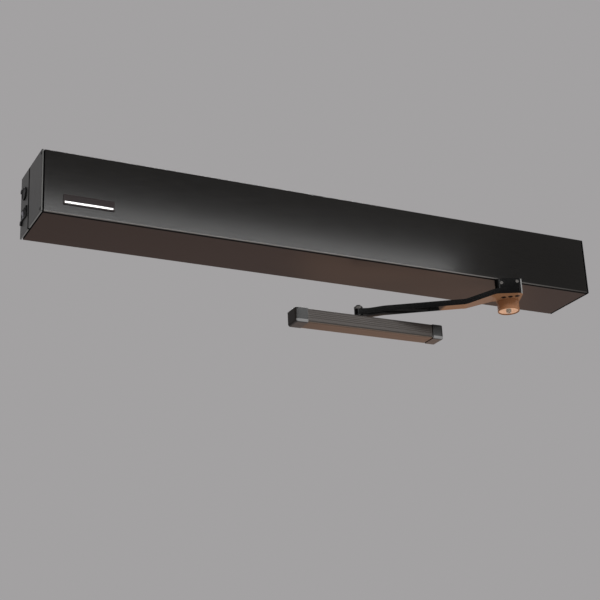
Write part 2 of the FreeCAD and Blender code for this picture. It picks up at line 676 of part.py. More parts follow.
def spindle_dust_ring():
    """Plastic ring that closes the gap round the spindle in the cover's underside."""
    bore, flange_thick, flange_lap = SPINDLE_R + 0.5, 1.0, 2.0
    ring = tube(SPINDLE_X, SPINDLE_Y, (-HALF_HEIGHT, -HALF_HEIGHT + COVER_WALL), COVER_HOLE_R, bore)
    flange_z = (-HALF_HEIGHT - flange_thick, -HALF_HEIGHT)
    return fuse([ring, tube(SPINDLE_X, SPINDLE_Y, flange_z, COVER_HOLE_R + flange_lap, bore)])


# ---------------------------------------------------------------- rack, gears and motor
RACK_X = (205.0, 416.0)


def rack_bar():
    """Rack with teeth to the spindle on its front and teeth to the drive pinion on its rear."""
    tip = ADDENDUM * RACK_MODULE
    front_y, rear_y = RACK_FRONT_Y - tip, RACK_REAR_Y + tip
    front = rack_edge(SPINDLE_X, RACK_FRONT_Y, -1, -2, 8)
    rear = rack_edge(DRIVE_X, RACK_REAR_Y, 1, -3, 8)
    outline = [Vector(RACK_X[0], front_y, 0), Vector(front[0].x, front_y, 0)]
    outline += front
    outline += [Vector(front[-1].x, front_y, 0), Vector(RACK_X[1], front_y, 0)]
    outline += [Vector(RACK_X[1], rear_y, 0), Vector(rear[-1].x, rear_y, 0)]
    outline += rear[::-1]
    outline += [Vector(rear[0].x, rear_y, 0), Vector(RACK_X[0], rear_y, 0)]
    outline.append(outline[0])
    face = Part.Face(Part.makePolygon(outline))
    face.translate(Vector(0, 0, RACK_Z[0]))
    return face.extrude(Vector(0, 0, RACK_Z[1] - RACK_Z[0]))


def spring_disc(x0, x1, spigot_x):
    """Spring end plate: a disc with a spigot inside the coil."""
    slack = 1.2
    inner_r = SPRING_COIL_R - SPRING_WIRE_R - slack
    outer_r = SPRING_COIL_R + SPRING_WIRE_R
    root = x1 if spigot_x > x1 else x0
    return fuse([spring_line(x0, x1, outer_r), spring_line(root, spigot_x, inner_r)])


SPIGOT = 8.0
SPRING_ROD_X = (4.0, 146.0)
ADJUSTER_X = (8.0, 18.0)


def spring_seat():
    """Moving end plate on the rack."""
    return spring_disc(SPRING_X[1], RACK_X[0], SPRING_X[1] - SPIGOT)


def spring_plug():
    """Fixed end plate, bored for the rod."""
    plug = spring_disc(SPRING_X[0] - SPIGOT, SPRING_X[0], SPRING_X[0] + SPIGOT)
    return plug.cut(spring_line(SPRING_X[0] - SPIGOT - 1, SPRING_X[0] + SPIGOT + 1, SPRING_ROD_R))


def spring_rod():
    """Rod that carries the fixed end plate and the adjuster nut."""
    return spring_line(SPRING_ROD_X[0], SPRING_ROD_X[1], SPRING_ROD_R)


def spring_adjuster_nut():
    """Nut on the rod's outer end that sets the spring's preload."""
    across = 19.0
    nut = hexagon((ADJUSTER_X[0], RACK_MID_Y, SPRING_Z), across, ADJUSTER_X[1] - ADJUSTER_X[0], X_AXIS)
    return nut.cut(spring_line(ADJUSTER_X[0] - 1, ADJUSTER_X[1] + 1, SPRING_ROD_R))


def closing_spring():
    """Compression spring between the two end plates."""
    length = SPRING_X[1] - SPRING_X[0] - 2 * SPRING_WIRE_R
    helix = Part.makeHelix(length / SPRING_TURNS, length, SPRING_COIL_R)
    rise = length / SPRING_TURNS / (2 * math.pi)
    section = Part.Wire(Part.Circle(Vector(SPRING_COIL_R, 0, 0), Vector(0, SPRING_COIL_R, rise),
                                    SPRING_WIRE_R).toShape())
    coil = Part.Wire(helix.Edges).makePipeShell([section], True, True)
    coil.rotate(Vector(0, 0, 0), Y_AXIS, 90)
    coil.translate(Vector(SPRING_X[0] + SPRING_WIRE_R, RACK_MID_Y, SPRING_Z))
    return coil


def drive_pinion_shaft():
    """Upright shaft with the pinion that moves the rack cut on it."""
    shaft = post(DRIVE_X, DRIVE_Y, (-45, 11), DRIVE_R)
    return fuse([shaft, gear(DRIVE_X, DRIVE_Y, RACK_Z, PINION_TEETH, RACK_MODULE, -math.pi / 2)])


def drive_gear():
    """Large gear with lightening holes, driven by the motor."""
    wheel = gear(DRIVE_X, DRIVE_Y, GEAR_Z, GEAR_TEETH, GEAR_MODULE, math.pi)
    wheel = wheel.cut(post(DRIVE_X, DRIVE_Y, (GEAR_Z[0] - 1, GEAR_Z[1] + 1), DRIVE_R))
    holes, hole_ring, hole_r = 6, 18.5, 5.0
    for k in range(holes):
        angle = (k + 0.5) * 2 * math.pi / holes
        wheel = wheel.cut(post(DRIVE_X + hole_ring * math.cos(angle), DRIVE_Y + hole_ring * math.sin(angle),
                               (GEAR_Z[0] - 1, GEAR_Z[1] + 1), hole_r))
    return wheel


def rotor_shaft():
    """Motor shaft with its small pinion cut on it."""
    shaft = post(MOTOR_X, DRIVE_Y, (CASE_PLATE_Z[0], 44), ROTOR_R)
    pinion_z = (GEAR_Z[0] - 1, GEAR_Z[1] + 1)
    half_tooth = math.pi / MOTOR_TEETH
    return fuse([shaft, gear(MOTOR_X, DRIVE_Y, pinion_z, MOTOR_TEETH, GEAR_MODULE, half_tooth)])


MOTOR_R = 29.0
MOTOR_CAN_Z = (17.0, 42.0)
CAN_WALL = 2.0
MAGNET_R = (20.0, MOTOR_R - CAN_WALL)


def rotor_core():
    """Laminated core on the motor shaft."""
    return tube(MOTOR_X, DRIVE_Y, (MOTOR_CAN_Z[0] + 4, MOTOR_CAN_Z[1] - 5), MAGNET_R[0] - 0.8, ROTOR_R)


def stator_magnets():
    """Two curved magnets inside the motor can."""
    ring = tube(MOTOR_X, DRIVE_Y, (MOTOR_CAN_Z[0] + 3, MOTOR_CAN_Z[1] - 4), MAGNET_R[1], MAGNET_R[0])
    split = box((MOTOR_X - 40, MOTOR_X + 40), (DRIVE_Y - 5, DRIVE_Y + 5), MOTOR_CAN_Z)
    return group([ring.cut(split)])


def motor_can():
    """Round motor housing, open inside, bored for the shaft at both ends."""
    can = post(MOTOR_X, DRIVE_Y, MOTOR_CAN_Z, MOTOR_R)
    can = can.makeFillet(2.5, circle_edges(can, MOTOR_CAN_Z[1], MOTOR_R))
    inside_z = (MOTOR_CAN_Z[0] + CAN_WALL, MOTOR_CAN_Z[1] - CAN_WALL)
    inside = post(MOTOR_X, DRIVE_Y, inside_z, MOTOR_R - CAN_WALL)
    return can.cut(inside).cut(post(MOTOR_X, DRIVE_Y, (0, 60), ROTOR_R + RUNNING_GAP))


# ---------------------------------------------------------------- electrics
BOARD_X = (-170.0, -20.0)
BOARD_Y = (-14.0, -12.4)
BOARD_Z = (-38.0, 38.0)


def control_board():
    """Circuit board; it lies on four of the standoffs."""
    return box(BOARD_X, BOARD_Y, BOARD_Z)


def board_relays():
    """Four sealed relays in a row."""
    relays = []
    for k in range(4):
        x = -120.0 + 24.0 * k
        relay = box((x, x + 16), (BOARD_Y[0] - 20, BOARD_Y[0]), (8, 34))
        relays.append(relay.makeFillet(1.0, [e for e in relay.Edges if e.CenterOfMass.y < BOARD_Y[0] - 1]))
    return group(relays)


def board_capacitors():
    """Three round capacitors standing on the board."""
    return group([rod((x, BOARD_Y[0], -18), (x, BOARD_Y[0] - 32, -18), 9.0) for x in (-104.0, -80.0, -56.0)])


def terminal_block():
    """Row of screw clamps for the field wiring."""
    count, pitch = 8, 7.0
    x = -156.0
    block = box((x, x + 14), (BOARD_Y[0] - 16, BOARD_Y[0]), (-count * pitch / 2, count * pitch / 2))
    for k in range(count):
        z = (k - (count - 1) / 2) * pitch
        block = block.cut(rod((x + 8, BOARD_Y[0] - 17, z), (x + 8, BOARD_Y[0] - 10, z), 2.4))
        block = block.cut(box((x - 1, x + 5), (BOARD_Y[0] - 9, BOARD_Y[0] - 4), (z - 2.2, z + 2.2)))
    return block


TRANSFORMER_X, TRANSFORMER_Y, TRANSFORMER_Z = -300.0, -34.0, 0.0


def transformer_core():
    """Laminated core with a window each side of its middle leg, on a foot."""
    x, y, z = TRANSFORMER_X, TRANSFORMER_Y, TRANSFORMER_Z
    core = box((x - 33, x + 33), (y - 15, y + 15), (z - 27, z + 27))
    for side in (-1, 1):
        middle = x + side * 16.5
        core = core.cut(box((middle - 5.5, middle + 5.5), (y - 20, y + 20), (z - 16.5, z + 16.5)))
    feet = [box((x - 33, x + 33), (y + 15, -BACK_WALL), (z + s * 23 - 4, z + s * 23 + 4)) for s in (-1, 1)]
    return fuse([core] + feet)


def transformer_coil():
    """Winding on the middle leg."""
    x, y, z = TRANSFORMER_X, TRANSFORMER_Y, TRANSFORMER_Z
    coil = box((x - 21.6, x + 21.6), (y - 26, y + 26), (z - 16.2, z + 16.2))
    coil = coil.makeFillet(4.0, edges_along(coil, Z_AXIS, lambda p: True))
    return coil.cut(box((x - 11, x + 11), (y - 15, y + 15), (z - 20, z + 20)))


LEAD_BEND = 12.0


def switch_lead():
    """Cable from the switches over the transformer to the terminal block."""
    path = [(SWITCH_REAR_X, SWITCH_Y, SWITCH_Z), (-450, SWITCH_Y, SWITCH_Z), (-400, SWITCH_Y, 38),
            (-200, SWITCH_Y, 38), (-180, SWITCH_Y, 6), (-156, SWITCH_Y, 6)]
    return lead(path, 2.0, LEAD_BEND)


def motor_lead():
    """Cable from the board to the motor."""
    path = [(-26, BOARD_Y[0], 24), (-26, -34, 24), (40, DRIVE_Y, 30), (MOTOR_X - MOTOR_R - 0.5, DRIVE_Y, 30)]
    return lead(path, 2.5, LEAD_BEND)


# ---------------------------------------------------------------- arm
ROOT_MID_Z = (BAR_TOP_Z + BAR_BOTTOM_Z) / 2
BAR_CORNERS = [(-45.0, ROOT_MID_Z), (27.0, ROOT_MID_Z), (80.5, -94.7), (222.0, -102.4), (250.0, TIP_MID_Z),
               (PIN_S + 20.0, TIP_MID_Z)]
BAR_BEND_R = 34.0
BAR_ROOT = (19.0, 12.0, 8.0)    # the bar's outline as circles: along, across, radius
BAR_WAIST = (85.0, 32.2, 10.7)
BAR_WRIST = (240.0, 31.2, 10.7)
PLATE_SCREWS = [(11.5, 24.0), (0.0, 26.5), (-11.5, 29.0)]
CLAMP_SCREWS = [(17.0, -62.5), (-10.5, -60.5)]


def pinion_spindle():
    """Output shaft with the pinion cut on it; its lower end carries the arm."""
    shaft = post(SPINDLE_X, SPINDLE_Y, (-96.5, -3), SPINDLE_R)
    shaft = fuse([shaft, gear(SPINDLE_X, SPINDLE_Y, RACK_Z, PINION_TEETH, RACK_MODULE, math.pi / 2)])
    return shaft.cut(post(SPINDLE_X, SPINDLE_Y, (-97, -80), 3.0))


def head_outline():
    """Head in plan: round behind the spindle, wide and flat in front."""
    low, high = HEAD_SIDES
    front = HEAD_FRONT - HEAD_CORNER
    return hull_face([(0, 0, HEAD_R), (high - HEAD_CORNER, front, HEAD_CORNER),
                      (low + HEAD_CORNER, front, HEAD_CORNER)])


def upright(face, z):
    """Prism of a flat face between two heights."""
    lifted = face.copy()
    lifted.translate(Vector(0, 0, z[0]))
    return lifted.extrude(Vector(0, 0, z[1] - z[0]))


def arm_head():
    """Cast head above the bar's root."""
    block = upright(head_outline(), (BAR_TOP_Z, HEAD_TOP_Z))
    rim = [e for e in block.Edges if abs(e.CenterOfMass.z - HEAD_TOP_Z) < 0.01]
    block = block.makeFillet(1.2, rim)
    block = block.cut(post(0, 0, (-100, -40), SPINDLE_R))
    for s, w in PLATE_SCREWS:
        block = block.cut(post(s, w, (BAR_TOP_Z - 1, BAR_TOP_Z + 10), 2.2))
    for s, z in CLAMP_SCREWS:
        block = block.cut(rod((s, HEAD_FRONT - 9, z), (s, HEAD_FRONT + 1, z), 1.8))
    return arm_place(block)


def bar_profile():
    """Side view of the bar, cranked down in straight runs, thick enough across to cover its whole plan."""
    top = [Vector(s, 0, z + ARM_THICK / 2) for s, z in BAR_CORNERS]
    low = [Vector(s, 0, z - ARM_THICK / 2) for s, z in BAR_CORNERS]
    tip = Part.LineSegment(top[-1], low[-1]).toShape()
    root = Part.LineSegment(low[0], top[0]).toShape()
    outline = bent_path(top, BAR_BEND_R) + [tip] + bent_path(low, BAR_BEND_R)[::-1] + [root]
    face = Part.Face(Part.Wire(outline))
    face.translate(Vector(0, -60, 0))
    return face.extrude(Vector(0, 150, 0))


def bar_plan():
    """Plan view of the bar: wide root, straight front edge, narrow waist, round tip."""
    tall = (-130, -50)
    root = hull_face([BAR_ROOT, BAR_WAIST, (BAR_ROOT[0], HEAD_FRONT - HEAD_CORNER, HEAD_CORNER)])
    limb = hull_face([BAR_WAIST, BAR_WRIST])
    tip = hull_face([BAR_WRIST, (PIN_S, PIN_W, TIP_R)])
    return fuse([upright(face, tall) for face in (root, limb, tip, head_outline())])


def arm_bar():
    """Forged bar: its root lies under the head, its tip holds the pin."""
    bar = bar_plan().common(bar_profile())
    bar = bar.cut(post(0, 0, (-100, -60), HUB_R - 4))
    bar = bar.cut(post(PIN_S, PIN_W, (-130, -90), PIN_R))
    for s, w in PLATE_SCREWS:
        bar = bar.cut(post(s, w, (-90, BAR_TOP_Z + 1), 2.2))
        bar = bar.cut(post(s, w, (-90, BAR_BOTTOM_Z + 3.0), 4.3))
    return arm_place(bar)


def arm_hub():
    """Round hub under the bar, recessed below for the disc."""
    body = post(0, 0, (HUB_BOTTOM_Z, BAR_BOTTOM_Z), HUB_R)
    body = body.makeFillet(0.8, circle_edges(body, HUB_BOTTOM_Z, HUB_R))
    spigot = post(0, 0, (BAR_BOTTOM_Z, BAR_TOP_Z), HUB_R - 4)
    body = fuse([body, spigot]).cut(post(0, 0, (-110, -60), SPINDLE_R))
    return arm_place(body.cut(post(0, 0, (HUB_BOTTOM_Z - 1, HUB_BOTTOM_Z + 3.5), HUB_R - 1.6)))


def hub_disc():
    """Polished washer that closes the hub."""
    disc = post(0, 0, (HUB_BOTTOM_Z + 1.0, HUB_BOTTOM_Z + 3.5), HUB_R - 1.8)
    disc = disc.makeFillet(0.6, circle_edges(disc, HUB_BOTTOM_Z + 1.0, HUB_R - 1.8))
    return arm_place(disc.cut(post(0, 0, (-110, -60), 3.0)))


def hub_bolt():
    """Socket bolt that draws the hub on to the spindle."""
    return arm_place(cap_screw((0, 0, HUB_BOTTOM_Z + 1.0), (0, 0, 1), 4.6, 3.2, 3.0, 18.0, 5.0))


def head_plate_screws():
    """Three screws through the bar's root into the head."""
    return arm_place(group([cap_screw((s, w, BAR_BOTTOM_Z + 3.0), (0, 0, 1), 4.0, 3.4, 2.2, 14.0, 3.4)
                            for s, w in PLATE_SCREWS]))


def head_clamp_screws():
    """Two screws in the head's front face."""
    return arm_place(group([cap_screw((s, HEAD_FRONT, z), (0, -1, 0), 2.7, 1.0, 1.8, 8.0, 2.0)
                            for s, z in CLAMP_SCREWS]))


PIN_FLANGE_Z = (TIP_MID_Z - ARM_THICK / 2 - 2.0, TIP_MID_Z - ARM_THICK / 2)
PIN_END_Z = -136.5
PIN_NUT_Z = (TIP_MID_Z + ARM_THICK / 2, TIP_MID_Z + ARM_THICK / 2 + 5.0)


def arm_pin():
    """Shoulder pin: clamped in the bar's tip, turning in the slider."""
    shaft = post(PIN_S, PIN_W, (PIN_END_Z, PIN_NUT_Z[1] + 2.5), PIN_R)
    return arm_place(fuse([shaft, post(PIN_S, PIN_W, PIN_FLANGE_Z, 7.0)]))


def arm_pin_nut():
    nut = hexagon((PIN_S, PIN_W, PIN_NUT_Z[0]), 13.0, PIN_NUT_Z[1] - PIN_NUT_Z[0])
    return arm_place(nut.cut(post(PIN_S, PIN_W, (-130, -90), PIN_R)))


# ---------------------------------------------------------------- slide track
CHANNEL_X = (TRACK_MID_X - TRACK_HALF + TRACK_CAP, TRACK_MID_X + TRACK_HALF - TRACK_CAP)
TRACK_INNER_Y = (-TRACK_DEPTH + TRACK_WALL, -3.0)
TRACK_INNER_Z = (TRACK_Z[0] + TRACK_WALL, TRACK_Z[1] - TRACK_WALL)
SLOT_HALF = 5.5
SLIDER_GAP = 0.4
PLUG_REACH = 8.0
BUMPER = 3.0


def slider_block():
    """Nylon block that runs in the track on the arm's pin."""
    block = box((PIN_X - SLIDER_HALF, PIN_X + SLIDER_HALF),
                (TRACK_INNER_Y[0] + SLIDER_GAP, TRACK_INNER_Y[1] - SLIDER_GAP - 2.2),
                (TRACK_INNER_Z[0] + SLIDER_GAP, TRACK_INNER_Z[1] - SLIDER_GAP))
    block = block.makeFillet(1.5, edges_along(block, Z_AXIS, lambda p: True))
    return block.cut(post(PIN_X, PIN_Y, (-150, -100), PIN_R + RUNNING_GAP))


def rounded_front(shape, front, upper_r, lower_r):
    """Round a track piece's two long front edges."""
    middle_z = (TRACK_Z[0] + TRACK_Z[1]) / 2
    upper = edges_along(shape, X_AXIS, lambda p: p.y < front + 0.1 and p.z > middle_z)
    shape = shape.makeFillet(upper_r, upper)
    lower = edges_along(shape, X_AXIS, lambda p: p.y < front + 0.1 and p.z < middle_z)
    return shape.makeFillet(lower_r, lower)


def track_channel():
    """Extruded channel with a slot along its top and fine grooves along its front."""
    front = -TRACK_DEPTH + TRACK_CAP_STEP
    z = (TRACK_Z[0] + TRACK_CAP_STEP, TRACK_Z[1] - TRACK_CAP_STEP)
    outer = rounded_front(box(CHANNEL_X, (front, 0), z), front, 1.5, 3.5)
    long_x = (CHANNEL_X[0] - 50, CHANNEL_X[1] + 50)
    channel = outer.cut(box(long_x, TRACK_INNER_Y, TRACK_INNER_Z))
    channel = channel.cut(box(long_x, (PIN_Y - SLOT_HALF, PIN_Y + SLOT_HALF), (-130, -100)))
    grooves, first, pitch, depth, width = 5, 3.6, 3.2, 0.7, 1.0
    for k in range(grooves):
        groove_z = TRACK_Z[1] - first - k * pitch
        channel = channel.cut(box(long_x, (front - 1, front + depth),
                                  (groove_z - width / 2, groove_z + width / 2)))
    reach = TRACK_HALF - 2.5
    tongue = box((TRACK_MID_X - reach, TRACK_MID_X + reach), (-3.0, 0), (TRACK_Z[0] + 5, TRACK_Z[1] - 5))
    channel = fuse([channel, tongue])
    middle_z = (TRACK_Z[0] + TRACK_Z[1]) / 2
    for side in (-1, 1):
        x = TRACK_MID_X + side * (TRACK_HALF - TRACK_SCREW_INSET)
        channel = channel.cut(rod((x, -10, middle_z), (x, 1, middle_z), TRACK_HOLE_R))
    return channel


def track_cap(side):
    """Moulded end cap with a plug inside the channel and a pocket over the fixing screw."""
    end = TRACK_MID_X + side * TRACK_HALF
    channel_end = TRACK_MID_X + side * (TRACK_HALF - TRACK_CAP)
    face = channel_end + (TRACK_CAP_GAP if side > 0 else 0)
    x = (min(end, face), max(end, face))
    cap = box(x, (-TRACK_DEPTH, 0), TRACK_Z)
    upright_edge = edges_along(cap, Z_AXIS, lambda p: abs(p.x - end) < 0.1 and p.y < -1)
    cap = cap.makeFillet(5.0, upright_edge)
    cap = rounded_front(cap, -TRACK_DEPTH, 1.5, 4.0)
    inner = channel_end - side * PLUG_REACH
    slack = 0.15
    plug = box((min(face, inner), max(face, inner)), (TRACK_INNER_Y[0] + slack, TRACK_INNER_Y[1] - slack),
               (TRACK_INNER_Z[0] + slack, TRACK_INNER_Z[1] - slack))
    deep = end - side * 2.2
    pocket = box((min(face, deep), max(face, deep)), (-14, 1), (TRACK_Z[0] + 4.8, TRACK_Z[1] - 4.8))
    return fuse([cap, plug]).cut(pocket)


def track_bumpers():
    """Rubber stops inside the channel."""
    stops = []
    for side in (-1, 1):
        inner = TRACK_MID_X + side * (TRACK_HALF - TRACK_CAP - PLUG_REACH)
        near = inner - side * BUMPER
        stops.append(box((min(inner, near), max(inner, near)), (TRACK_INNER_Y[0] + 1, TRACK_INNER_Y[1] - 3),
                         (TRACK_INNER_Z[0] + 1, TRACK_INNER_Z[1] - 1)))
    return group(stops)


# ---------------------------------------------------------------- all nodes
NODES = {
    "back_plate": back_plate,
    "cover": cover,
    "left_cover_cap": cover_cap,
    "right_cover_cap": lambda: mirrored(cover_cap()),
    "left_end_bracket": left_end_bracket,
    "right_end_bracket": right_end_bracket,
    "cover_cap_screws": cover_cap_screws,
    "end_bracket_screws": end_bracket_screws,
    "name_plate": name_plate,
    "name_plate_stripe": name_plate_stripe,
    "switch_housing": switch_housing,
    "power_rocker": lambda: rocker(-1),
    "mode_rocker": lambda: rocker(1),
    "knockout_plug": knockout_plug,
    "conduit_bush": conduit_bush,
    "chassis": chassis,
    "chassis_screws": chassis_screws,
    "gear_case_cover": gear_case_cover,
    "motor_plate": motor_plate,
    "plate_standoffs": plate_standoffs,
    "plate_screws": plate_screws,
    "spindle_bearings": spindle_bearings,
    "drive_bearings": drive_bearings,
    "rack_guides": rack_guides,
    "spindle_dust_ring": spindle_dust_ring,
    "rack_bar": rack_bar,
    "spring_seat": spring_seat,
    "spring_plug": spring_plug,
    "spring_rod": spring_rod,
    "spring_adjuster_nut": spring_adjuster_nut,
    "closing_spring": closing_spring,
    "drive_pinion_shaft": drive_pinion_shaft,
    "drive_gear": drive_gear,
    "rotor_shaft": rotor_shaft,
    "rotor_core": rotor_core,
    "stator_magnets": stator_magnets,
    "motor_can": motor_can,
    "control_board": control_board,
    "board_relays": board_relays,
    "board_capacitors": board_capacitors,
    "terminal_block": terminal_block,
    "transformer_core": transformer_core,
    "transformer_coil": transformer_coil,
    "switch_lead": switch_lead,
    "motor_lead": motor_lead,
    "pinion_spindle": pinion_spindle,
    "arm_head": arm_head,
    "arm_bar": arm_bar,
    "arm_hub": arm_hub,
    "hub_disc": hub_disc,
    "hub_bolt": hub_bolt,
    "head_plate_screws": head_plate_screws,
    "head_clamp_screws": head_clamp_screws,
    "arm_pin": arm_pin,
    "arm_pin_nut": arm_pin_nut,
    "slider_block": slider_block,
    "track_channel": track_channel,
    "track_cap_left": lambda: track_cap(-1),
    "track_cap_right": lambda: track_cap(1),
    "track_bumpers": track_bumpers,
}


def main():
    os.makedirs("parts", exist_ok=True)
    for name, make in NODES.items():
        shape = make()
        if not shape.isValid():
            print("not valid:", name)
        shape.exportStep("parts/" + name + ".step")
    print(len(NODES), "nodes written; pin axis at", round(PIN_X, 2), round(PIN_Y, 2))


main()
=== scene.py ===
"""Looks of a powered door closer: finishes, spring coils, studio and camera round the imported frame."""

import json
import math

import bmesh
import bpy
from mathutils import Matrix, Quaternion, Vector


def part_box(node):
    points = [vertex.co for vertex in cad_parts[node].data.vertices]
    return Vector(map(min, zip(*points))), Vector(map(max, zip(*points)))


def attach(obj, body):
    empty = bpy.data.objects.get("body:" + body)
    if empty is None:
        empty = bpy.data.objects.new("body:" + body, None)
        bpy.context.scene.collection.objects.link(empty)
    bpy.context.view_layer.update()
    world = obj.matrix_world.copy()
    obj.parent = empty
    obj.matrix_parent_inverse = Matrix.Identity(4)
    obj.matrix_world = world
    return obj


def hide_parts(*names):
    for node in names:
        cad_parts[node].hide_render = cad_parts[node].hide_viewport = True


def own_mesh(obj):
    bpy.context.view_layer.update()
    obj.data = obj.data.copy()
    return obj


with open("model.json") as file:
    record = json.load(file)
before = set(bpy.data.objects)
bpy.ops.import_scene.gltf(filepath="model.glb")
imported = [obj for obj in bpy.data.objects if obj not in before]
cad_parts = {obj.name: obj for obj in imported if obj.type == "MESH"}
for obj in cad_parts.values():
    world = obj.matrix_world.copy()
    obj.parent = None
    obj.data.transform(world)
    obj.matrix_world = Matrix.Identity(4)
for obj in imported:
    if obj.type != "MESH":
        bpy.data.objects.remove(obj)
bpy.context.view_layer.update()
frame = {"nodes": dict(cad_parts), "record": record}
NODES = frame["nodes"]

# ---- camera: a person looking up at the header from the room ----
CAMERA_PLACE = Vector((-1.0048, -1.9232, -0.9072))
CAMERA_YAW = math.radians(-27.083)
CAMERA_RISE = math.radians(20.700)
CAMERA_ROLL = math.radians(-2.677)
CAMERA_LENS = 81.68

# ---- studio ----
FLOOR_Z = -2.6
FLOOR_HALF = 9.0
ROOM_GREY = (0.366, 0.357, 0.361)

# ---- directions that a face can point in, object coordinates ----
DOWN = (0, 0, -1)
FRONT = (0, -1, 0)
LEFT = (-1, 0, 0)
RIGHT = (1, 0, 0)
RIGHT_FRONT = (0.5, -0.866, 0)

# ---- base colours shared by several finishes, linear RGB ----
# painted reflection: warm brown laid on the arm's underside near the spindle
UNDERSIDE_REFLECTION = (0.30, 0.150, 0.076)
# painted shade: black laid under the cover's front edge and at its left end
PAINTED_SHADE_BLACK = (0.001, 0.001, 0.001)
# painted shade: black in the joint and gaps of the end plates
GAP_SHADE_BLACK = (0.002, 0.002, 0.002)

# ---- places where a finish changes, metres ----
UNDERSIDE_REFLECTION_REACH = (0.122, 0.128)      # from the spindle: painted warm reflection in brown on the underside inside, black outside
HIGHLIGHT_HEIGHT = (0.0022, 0.0030)    # painted highlight: pale strip on the cover's lower front corner, from below
HIGHLIGHT_FADE = (0.25, 0.50)          # that painted highlight fades to a quarter between these X
UNDER_SHADE_DEPTH = (0.0045, 0.0055)      # painted shade: black strip under the cover's front edge, from the front
END_SHADE_REACH = (0.0004, 0.0008)          # painted shade: black at the cover's left end, from that end
JOINT_FRONT = (-0.0480, -0.0475)    # painted shade in the joint between the end plates' halves, its front side in Y
JOINT_REAR = (-0.0420, -0.0415)     # and its rear side
PLATE_INSIDE = (0.5022, 0.5028)     # |X| below this is the lip behind the end plate, painted black as shade
RIGHT_END = (0.4, 0.5)              # X above this belongs to the right end, whose rims are painted black as shade
CAP_HIGHLIGHT_HEIGHT = (0.0045, 0.0060)       # painted highlight on the lower front corner of the track's caps, from below

# ---- widths of worn corners, metres ----
WIDE_CORNER = 0.0009
PAINT_CORNER = 0.0007
FINE_CORNER = 0.0006


# ==== material building blocks ====

